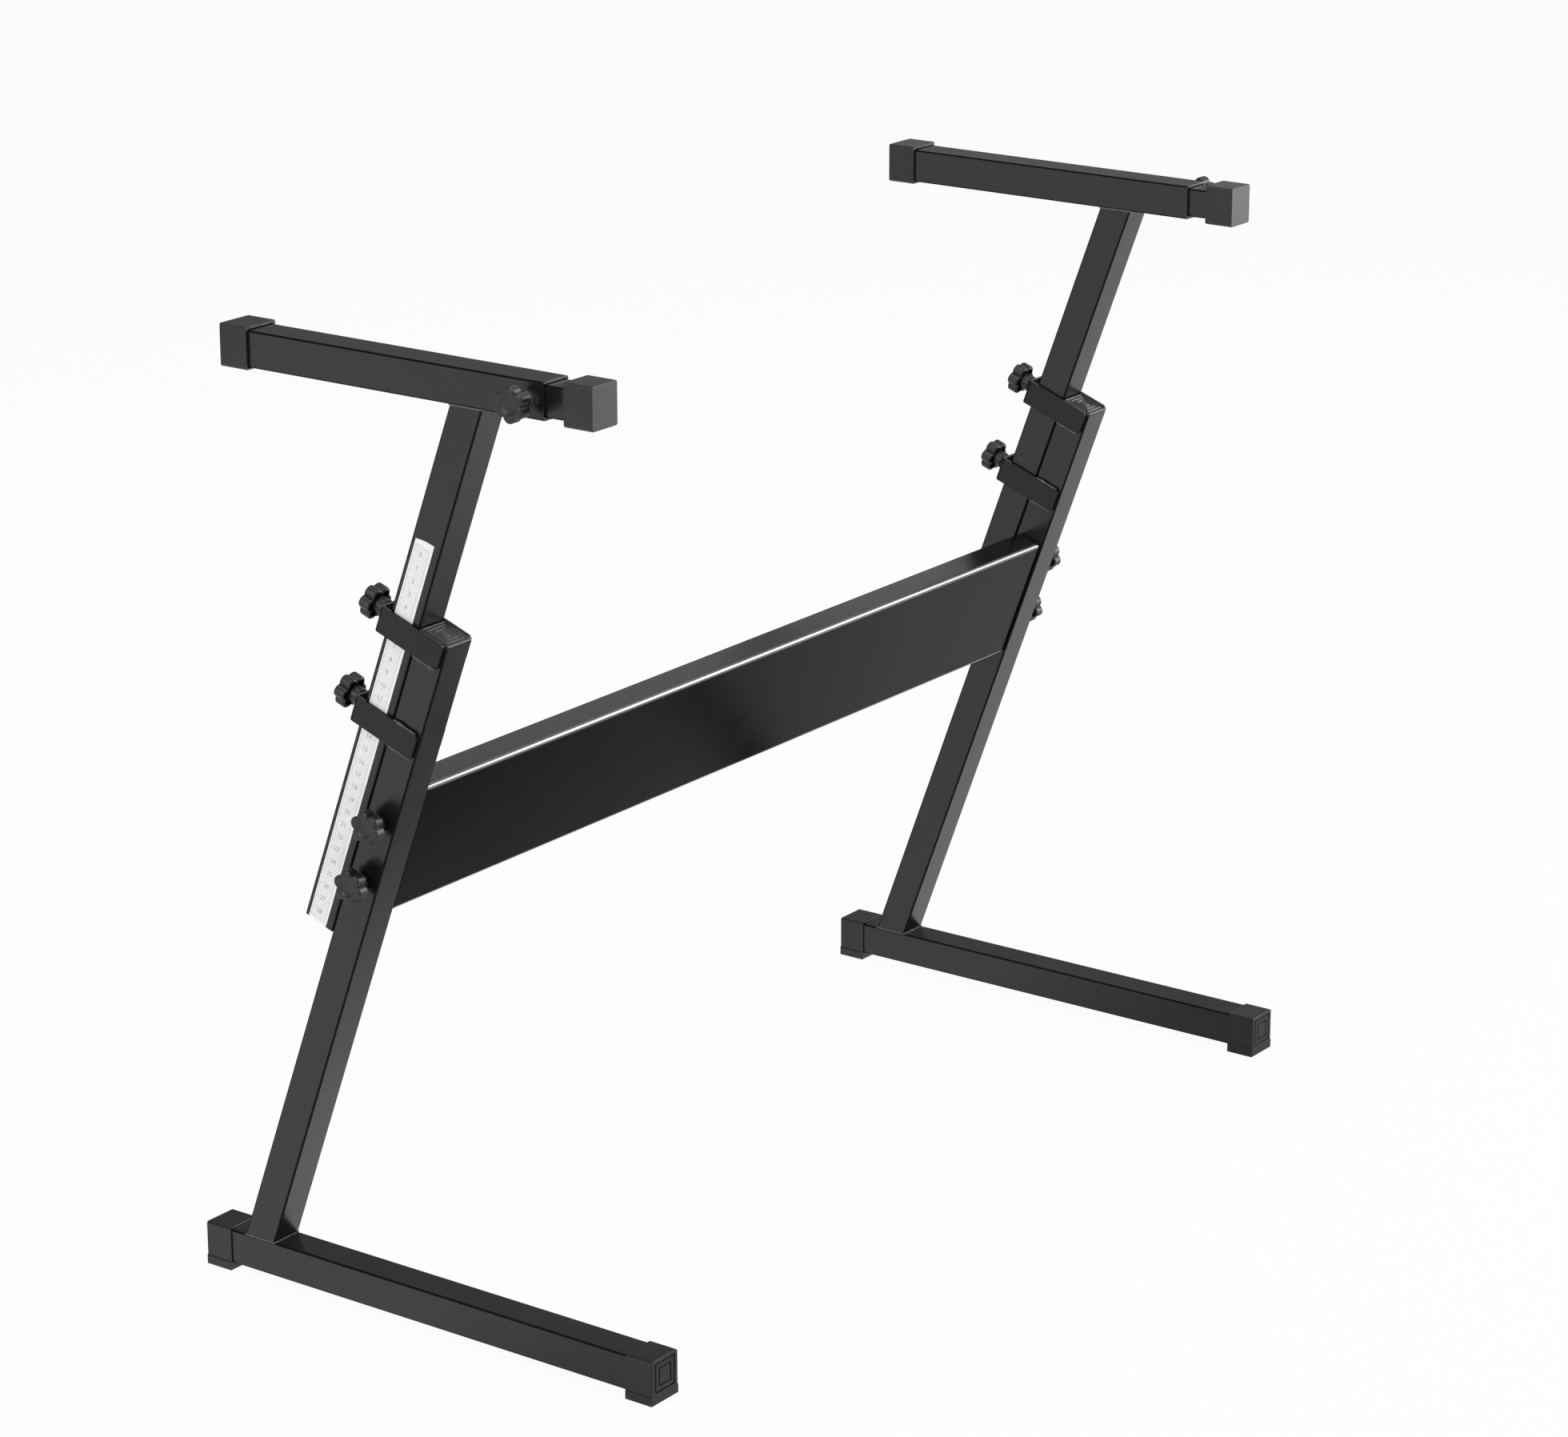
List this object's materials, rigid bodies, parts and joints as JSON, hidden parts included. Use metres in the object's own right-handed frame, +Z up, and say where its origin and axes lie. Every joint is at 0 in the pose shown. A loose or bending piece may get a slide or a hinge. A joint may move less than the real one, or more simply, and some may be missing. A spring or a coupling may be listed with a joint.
{
  "type": "folding keyboard stand",
  "caption": "Z-frame keyboard stand with sliding uprights, star-knob clamps, extending top arms with rubber boots, and a pressed crossbar panel.",
  "frame": {"origin": "centre of the footprint at floor level", "axes": "+X to the player's right along the crossbar, +Y away from the player along the feet, +Z up"},
  "size_m": [0.8296, 0.3922, 0.679],
  "materials": {
    "black_powder_coat": "satin black powder coat on steel tube and sheet",
    "black_plastic": "moulded black plastic, satin",
    "black_rubber": "soft black rubber, matt, fine ribs",
    "zinc_steel": "bright zinc-plated steel",
    "white_print": "printed white plastic film"
  },
  "bodies": {
    "base_frame": {"left_foot_tube": "black_powder_coat", "left_foot_cap_front": "black_plastic", "left_foot_cap_rear": "black_plastic", "left_lower_leg": "black_powder_coat", "left_leg_plug": "black_plastic", "left_upper_bracket": "black_powder_coat", "left_lower_bracket": "black_powder_coat", "left_upper_clamp_nut": "zinc_steel", "left_lower_clamp_nut": "zinc_steel", "left_upper_panel_nut": "zinc_steel", "left_lower_panel_nut": "zinc_steel", "right_foot_tube": "black_powder_coat", "right_foot_cap_front": "black_plastic", "right_foot_cap_rear": "black_plastic", "right_lower_leg": "black_powder_coat", "right_leg_plug": "black_plastic", "right_upper_bracket": "black_powder_coat", "right_lower_bracket": "black_powder_coat", "right_upper_clamp_nut": "zinc_steel", "right_lower_clamp_nut": "zinc_steel", "right_upper_panel_nut": "zinc_steel", "right_lower_panel_nut": "zinc_steel", "crossbar": "black_powder_coat"},
    "left_upright": {"left_upper_leg": "black_powder_coat", "left_height_scale": "white_print", "left_arm_tube": "black_powder_coat", "left_boot_rear": "black_rubber", "left_arm_nut": "zinc_steel"},
    "left_arm_slider": {"left_arm_extension": "black_powder_coat", "left_boot_front": "black_rubber"},
    "left_upper_clamp_stud_body": {"left_upper_clamp_stud": "zinc_steel"},
    "left_upper_clamp_knob_body": {"left_upper_clamp_knob": "black_plastic"},
    "left_lower_clamp_stud_body": {"left_lower_clamp_stud": "zinc_steel"},
    "left_lower_clamp_knob_body": {"left_lower_clamp_knob": "black_plastic"},
    "left_upper_panel_stud_body": {"left_upper_panel_stud": "zinc_steel"},
    "left_upper_panel_knob_body": {"left_upper_panel_knob": "black_plastic"},
    "left_lower_panel_stud_body": {"left_lower_panel_stud": "zinc_steel"},
    "left_lower_panel_knob_body": {"left_lower_panel_knob": "black_plastic"},
    "left_arm_stud_body": {"left_arm_stud": "zinc_steel"},
    "left_arm_knob_body": {"left_arm_knob": "black_plastic"},
    "right_upright": {"right_upper_leg": "black_powder_coat", "right_height_scale": "white_print", "right_arm_tube": "black_powder_coat", "right_boot_rear": "black_rubber", "right_arm_nut": "zinc_steel"},
    "right_arm_slider": {"right_arm_extension": "black_powder_coat", "right_boot_front": "black_rubber"},
    "right_upper_clamp_stud_body": {"right_upper_clamp_stud": "zinc_steel"},
    "right_upper_clamp_knob_body": {"right_upper_clamp_knob": "black_plastic"},
    "right_lower_clamp_stud_body": {"right_lower_clamp_stud": "zinc_steel"},
    "right_lower_clamp_knob_body": {"right_lower_clamp_knob": "black_plastic"},
    "right_upper_panel_stud_body": {"right_upper_panel_stud": "zinc_steel"},
    "right_upper_panel_knob_body": {"right_upper_panel_knob": "black_plastic"},
    "right_lower_panel_stud_body": {"right_lower_panel_stud": "zinc_steel"},
    "right_lower_panel_knob_body": {"right_lower_panel_knob": "black_plastic"},
    "right_arm_stud_body": {"right_arm_stud": "zinc_steel"},
    "right_arm_knob_body": {"right_arm_knob": "black_plastic"}
  },
  "joints": [
    {"name": "left_height_slide", "type": "slide", "parent": "base_frame", "child": "left_upright", "axis": [0, -0.3453, 0.9385], "range_m": [-0.135, 0.145]},
    {"name": "left_arm_slide", "type": "slide", "parent": "left_upright", "child": "left_arm_slider", "axis": [0, -1, 0], "range_m": [-0.015, 0.07]},
    {"name": "left_upper_clamp_stud_travel", "type": "slide", "parent": "base_frame", "child": "left_upper_clamp_stud_body", "axis": [0, 0.9385, 0.3453], "range_m": [0, 0.002]},
    {"name": "left_upper_clamp_knob_turn", "type": "hinge", "parent": "left_upper_clamp_stud_body", "child": "left_upper_clamp_knob_body", "pos_m": [-0.382, 0.02202, 0.50108], "axis": [0, 0.9385, 0.3453], "range_deg": [0, 720]},
    {"name": "left_lower_clamp_stud_travel", "type": "slide", "parent": "base_frame", "child": "left_lower_clamp_stud_body", "axis": [0, 0.9385, 0.3453], "range_m": [0, 0.002]},
    {"name": "left_lower_clamp_knob_turn", "type": "hinge", "parent": "left_lower_clamp_stud_body", "child": "left_lower_clamp_knob_body", "pos_m": [-0.382, 0.04595, 0.43604], "axis": [0, 0.9385, 0.3453], "range_deg": [0, 720]},
    {"name": "left_upper_panel_stud_travel", "type": "slide", "parent": "base_frame", "child": "left_upper_panel_stud_body", "axis": [-1, 0, 0], "range_m": [0, 0.002]},
    {"name": "left_upper_panel_knob_turn", "type": "hinge", "parent": "left_upper_panel_stud_body", "child": "left_upper_panel_knob_body", "pos_m": [-0.3945, 0.02643, 0.35907], "axis": [-1, 0, 0], "range_deg": [0, 720]},
    {"name": "left_lower_panel_stud_travel", "type": "slide", "parent": "base_frame", "child": "left_lower_panel_stud_body", "axis": [-1, 0, 0], "range_m": [0, 0.002]},
    {"name": "left_lower_panel_knob_turn", "type": "hinge", "parent": "left_lower_panel_stud_body", "child": "left_lower_panel_knob_body", "pos_m": [-0.3945, 0.04266, 0.31496], "axis": [-1, 0, 0], "range_deg": [0, 720]},
    {"name": "left_arm_stud_travel", "type": "slide", "parent": "left_upright", "child": "left_arm_stud_body", "axis": [-1, 0, 0], "range_m": [0, 0.002]},
    {"name": "left_arm_knob_turn", "type": "hinge", "parent": "left_arm_stud_body", "child": "left_arm_knob_body", "pos_m": [-0.3945, -0.10562, 0.66397], "axis": [-1, 0, 0], "range_deg": [0, 720]},
    {"name": "right_height_slide", "type": "slide", "parent": "base_frame", "child": "right_upright", "axis": [0, -0.3453, 0.9385], "range_m": [-0.135, 0.145]},
    {"name": "right_arm_slide", "type": "slide", "parent": "right_upright", "child": "right_arm_slider", "axis": [0, -1, 0], "range_m": [-0.015, 0.07]},
    {"name": "right_upper_clamp_stud_travel", "type": "slide", "parent": "base_frame", "child": "right_upper_clamp_stud_body", "axis": [0, 0.9385, 0.3453], "range_m": [0, 0.002]},
    {"name": "right_upper_clamp_knob_turn", "type": "hinge", "parent": "right_upper_clamp_stud_body", "child": "right_upper_clamp_knob_body", "pos_m": [0.382, 0.02202, 0.50108], "axis": [0, 0.9385, 0.3453], "range_deg": [0, 720]},
    {"name": "right_lower_clamp_stud_travel", "type": "slide", "parent": "base_frame", "child": "right_lower_clamp_stud_body", "axis": [0, 0.9385, 0.3453], "range_m": [0, 0.002]},
    {"name": "right_lower_clamp_knob_turn", "type": "hinge", "parent": "right_lower_clamp_stud_body", "child": "right_lower_clamp_knob_body", "pos_m": [0.382, 0.04595, 0.43604], "axis": [0, 0.9385, 0.3453], "range_deg": [0, 720]},
    {"name": "right_upper_panel_stud_travel", "type": "slide", "parent": "base_frame", "child": "right_upper_panel_stud_body", "axis": [1, 0, 0], "range_m": [0, 0.002]},
    {"name": "right_upper_panel_knob_turn", "type": "hinge", "parent": "right_upper_panel_stud_body", "child": "right_upper_panel_knob_body", "pos_m": [0.3945, 0.02643, 0.35907], "axis": [1, 0, 0], "range_deg": [0, 720]},
    {"name": "right_lower_panel_stud_travel", "type": "slide", "parent": "base_frame", "child": "right_lower_panel_stud_body", "axis": [1, 0, 0], "range_m": [0, 0.002]},
    {"name": "right_lower_panel_knob_turn", "type": "hinge", "parent": "right_lower_panel_stud_body", "child": "right_lower_panel_knob_body", "pos_m": [0.3945, 0.04266, 0.31496], "axis": [1, 0, 0], "range_deg": [0, 720]},
    {"name": "right_arm_stud_travel", "type": "slide", "parent": "right_upright", "child": "right_arm_stud_body", "axis": [1, 0, 0], "range_m": [0, 0.002]},
    {"name": "right_arm_knob_turn", "type": "hinge", "parent": "right_arm_stud_body", "child": "right_arm_knob_body", "pos_m": [0.3945, -0.10562, 0.66397], "axis": [1, 0, 0], "range_deg": [0, 720]}
  ],
  "couplings": [
    {"joint": "left_upper_clamp_knob_turn", "follows": "left_upper_clamp_stud_travel", "rad_per_m": 6283.2},
    {"joint": "left_lower_clamp_knob_turn", "follows": "left_lower_clamp_stud_travel", "rad_per_m": 6283.2},
    {"joint": "left_upper_panel_knob_turn", "follows": "left_upper_panel_stud_travel", "rad_per_m": 6283.2},
    {"joint": "left_lower_panel_knob_turn", "follows": "left_lower_panel_stud_travel", "rad_per_m": 6283.2},
    {"joint": "left_arm_knob_turn", "follows": "left_arm_stud_travel", "rad_per_m": 6283.2},
    {"joint": "right_upper_clamp_knob_turn", "follows": "right_upper_clamp_stud_travel", "rad_per_m": 6283.2},
    {"joint": "right_lower_clamp_knob_turn", "follows": "right_lower_clamp_stud_travel", "rad_per_m": 6283.2},
    {"joint": "right_upper_panel_knob_turn", "follows": "right_upper_panel_stud_travel", "rad_per_m": 6283.2},
    {"joint": "right_lower_panel_knob_turn", "follows": "right_lower_panel_stud_travel", "rad_per_m": 6283.2},
    {"joint": "right_arm_knob_turn", "follows": "right_arm_stud_travel", "rad_per_m": 6283.2}
  ]
}
